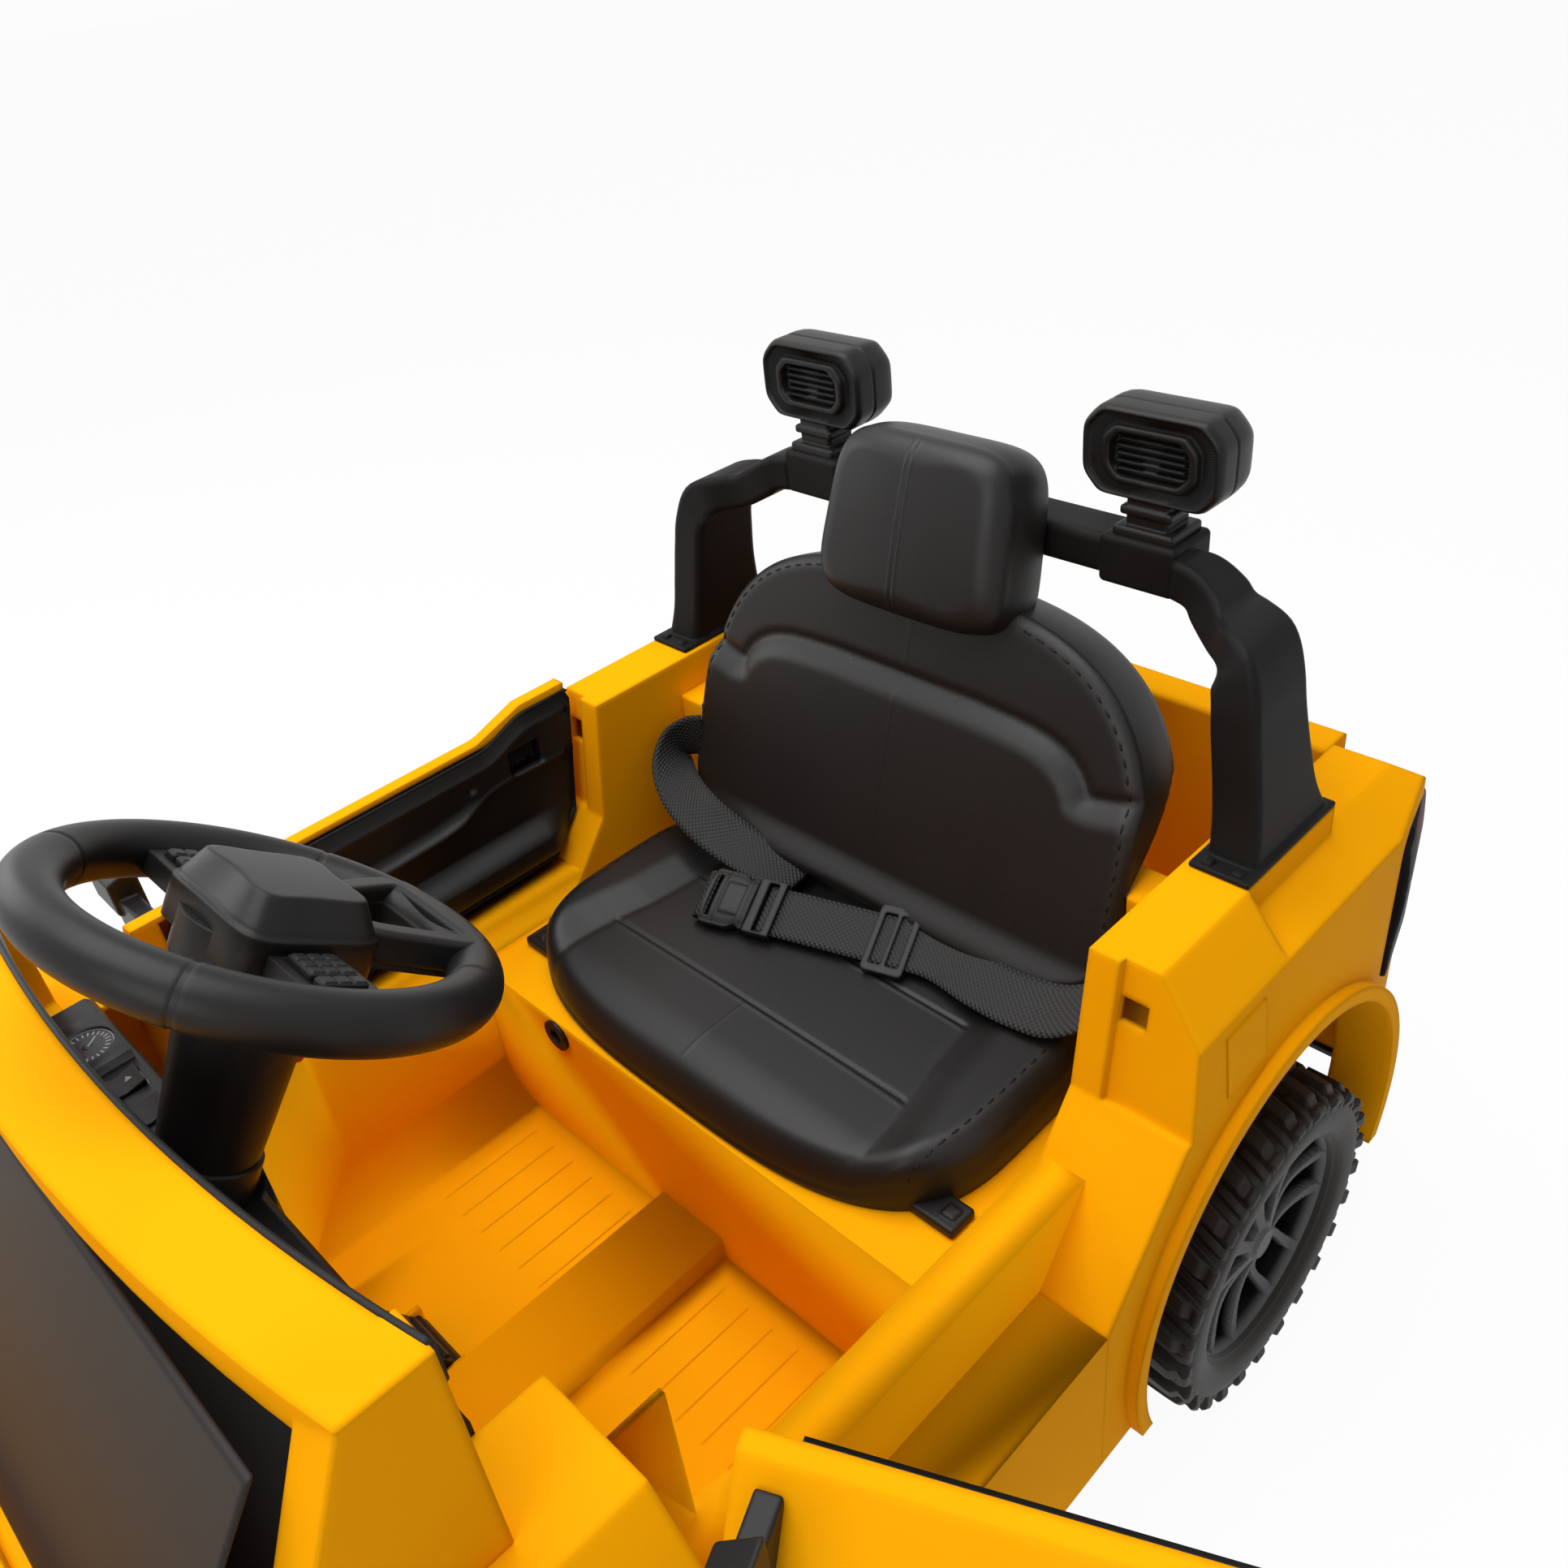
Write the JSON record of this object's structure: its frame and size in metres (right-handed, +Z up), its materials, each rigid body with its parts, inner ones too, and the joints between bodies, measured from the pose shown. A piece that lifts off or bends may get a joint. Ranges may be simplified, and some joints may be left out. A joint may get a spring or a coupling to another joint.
{
  "type": "electric ride-on car",
  "caption": "Yellow electric ride-on toy pickup with a black seat, lap belt, steering wheel, roll bar, roof lamps and opening doors",
  "frame": {"origin": "on the ground under the middle of the body, half-way between nose and tail on the centre plane", "axes": "+X is the car's left side, -Y the nose, +Z up"},
  "size_m": [0.9691, 1.13, 0.6685],
  "materials": {
    "yellow_plastic": "satin amber-yellow moulded plastic",
    "black_plastic": "satin black moulded plastic",
    "seat_leather": "black leather-look moulded cover",
    "webbing": "woven black polyester webbing",
    "tyre_rubber": "black blow-moulded tyre",
    "rim_grey": "grey painted plastic",
    "dark_screen": "smoked dark plastic",
    "lamp_clear": "silvered lamp plastic",
    "lamp_red": "dark smoked red plastic",
    "start_red": "red plastic",
    "steel": "zinc-plated steel"
  },
  "bodies": {
    "chassis": {"chassis_pan": "black_plastic", "body_tub": "yellow_plastic", "bed_tray": "yellow_plastic", "tailgate": "yellow_plastic", "quarter_left": "yellow_plastic", "quarter_right": "yellow_plastic", "fender_left": "yellow_plastic", "fender_right": "yellow_plastic", "hood": "yellow_plastic", "windscreen_frame": "yellow_plastic", "windscreen": "dark_screen", "headlamps": "lamp_clear", "tail_lamps": "lamp_red", "front_bumper": "black_plastic", "rear_bumper": "black_plastic", "dashboard": "black_plastic", "column_cover": "black_plastic", "roll_bar": "black_plastic", "roof_lamps": "black_plastic", "seat_cushion": "seat_leather", "seat_back": "seat_leather", "headrest": "seat_leather", "lap_belt_left": "webbing", "lap_belt_right": "webbing", "buckle_socket": "black_plastic", "buckle_tongue": "black_plastic", "belt_slider": "black_plastic", "battery": "black_plastic", "charge_socket": "black_plastic", "gear_motors": "black_plastic", "rear_axle": "steel", "hinge_pins": "steel"},
    "steering": {"steering_wheel": "black_plastic", "hub_pad": "black_plastic", "steering_shaft": "steel"},
    "key_pad_left": {"keypad_left": "black_plastic"},
    "key_pad_right": {"keypad_right": "black_plastic"},
    "key_side_left": {"side_keys_left": "black_plastic"},
    "key_side_right": {"side_keys_right": "black_plastic"},
    "start": {"start_button": "start_red"},
    "tie": {"tie_rod": "steel"},
    "knuckle_l": {"knuckle_left": "black_plastic"},
    "knuckle_r": {"knuckle_right": "black_plastic"},
    "door_l": {"door_shell_left": "yellow_plastic", "door_liner_left": "black_plastic", "mirror_left": "black_plastic"},
    "door_r": {"door_shell_right": "yellow_plastic", "door_liner_right": "black_plastic", "mirror_right": "black_plastic"},
    "pedal": {"accelerator_pedal": "black_plastic"},
    "switch_drive": {"rocker_drive": "black_plastic"},
    "switch_speed": {"rocker_speed": "black_plastic"},
    "wheel_front_left": {"tyre_front_left": "tyre_rubber", "rim_front_left": "rim_grey"},
    "wheel_front_right": {"tyre_front_right": "tyre_rubber", "rim_front_right": "rim_grey"},
    "wheel_rear_left": {"tyre_rear_left": "tyre_rubber", "rim_rear_left": "rim_grey"},
    "wheel_rear_right": {"tyre_rear_right": "tyre_rubber", "rim_rear_right": "rim_grey"}
  },
  "joints": [
    {"name": "steering", "type": "hinge", "parent": "chassis", "child": "steering", "pos_m": [0, -0.1325, 0.562], "axis": [0, 0.5878, 0.809], "range_deg": [-40, 40]},
    {"name": "tie_slide", "type": "slide", "parent": "chassis", "child": "tie", "axis": [1, 0, 0], "range_m": [-0.0212, 0.0212]},
    {"name": "knuckle_left", "type": "hinge", "parent": "chassis", "child": "knuckle_l", "pos_m": [0.205, -0.325, 0.125], "axis": [0, 0, 1], "range_deg": [-20.5, 20.5]},
    {"name": "knuckle_right", "type": "hinge", "parent": "chassis", "child": "knuckle_r", "pos_m": [-0.205, -0.325, 0.125], "axis": [0, 0, 1], "range_deg": [-20.5, 20.5]},
    {"name": "spin_front_left", "type": "hinge", "parent": "knuckle_l", "child": "wheel_front_left", "pos_m": [0.28, -0.325, 0.125], "axis": [1, 0, 0], "continuous": true},
    {"name": "spin_front_right", "type": "hinge", "parent": "knuckle_r", "child": "wheel_front_right", "pos_m": [-0.28, -0.325, 0.125], "axis": [1, 0, 0], "continuous": true},
    {"name": "spin_rear_left", "type": "hinge", "parent": "chassis", "child": "wheel_rear_left", "pos_m": [0.28, 0.325, 0.125], "axis": [1, 0, 0], "continuous": true},
    {"name": "spin_rear_right", "type": "hinge", "parent": "chassis", "child": "wheel_rear_right", "pos_m": [-0.28, 0.325, 0.125], "axis": [1, 0, 0], "continuous": true},
    {"name": "door_left", "type": "hinge", "parent": "chassis", "child": "door_l", "pos_m": [0.298, -0.142, 0.3], "axis": [0, 0, 1], "range_deg": [0, 65]},
    {"name": "door_right", "type": "hinge", "parent": "chassis", "child": "door_r", "pos_m": [-0.298, -0.142, 0.3], "axis": [0, 0, 1], "range_deg": [0, 65]},
    {"name": "pedal", "type": "hinge", "parent": "chassis", "child": "pedal", "pos_m": [-0.064, -0.116, 0.143], "axis": [1, 0, 0], "range_deg": [0, 12], "stiffness_Nm_per_rad": 2, "springref_deg": -8.59},
    {"name": "rocker_drive", "type": "hinge", "parent": "chassis", "child": "switch_drive", "pos_m": [-0.108, -0.206, 0.438], "axis": [1, 0, 0], "range_deg": [-10, 10]},
    {"name": "rocker_speed", "type": "hinge", "parent": "chassis", "child": "switch_speed", "pos_m": [-0.076, -0.206, 0.438], "axis": [1, 0, 0], "range_deg": [-10, 10]},
    {"name": "key_pad_left", "type": "slide", "parent": "steering", "child": "key_pad_left", "axis": [0, -0.5878, -0.809], "range_m": [0, 0.0015], "stiffness_N_per_m": 400, "springref_m": -0.001},
    {"name": "key_pad_right", "type": "slide", "parent": "steering", "child": "key_pad_right", "axis": [0, -0.5878, -0.809], "range_m": [0, 0.0015], "stiffness_N_per_m": 400, "springref_m": -0.001},
    {"name": "key_side_left", "type": "slide", "parent": "steering", "child": "key_side_left", "axis": [0, -0.5878, -0.809], "range_m": [0, 0.0015], "stiffness_N_per_m": 400, "springref_m": -0.001},
    {"name": "key_side_right", "type": "slide", "parent": "steering", "child": "key_side_right", "axis": [0, -0.5878, -0.809], "range_m": [0, 0.0015], "stiffness_N_per_m": 400, "springref_m": -0.001},
    {"name": "start_press", "type": "slide", "parent": "chassis", "child": "start", "axis": [0, -0.8339, 0.5519], "range_m": [0, 0.0015], "stiffness_N_per_m": 400, "springref_m": -0.001}
  ],
  "couplings": [
    {"joint": "tie_slide", "follows": "steering", "m_per_rad": 0.03},
    {"joint": "knuckle_left", "follows": "steering", "ratio": 0.5},
    {"joint": "knuckle_right", "follows": "steering", "ratio": 0.5}
  ]
}
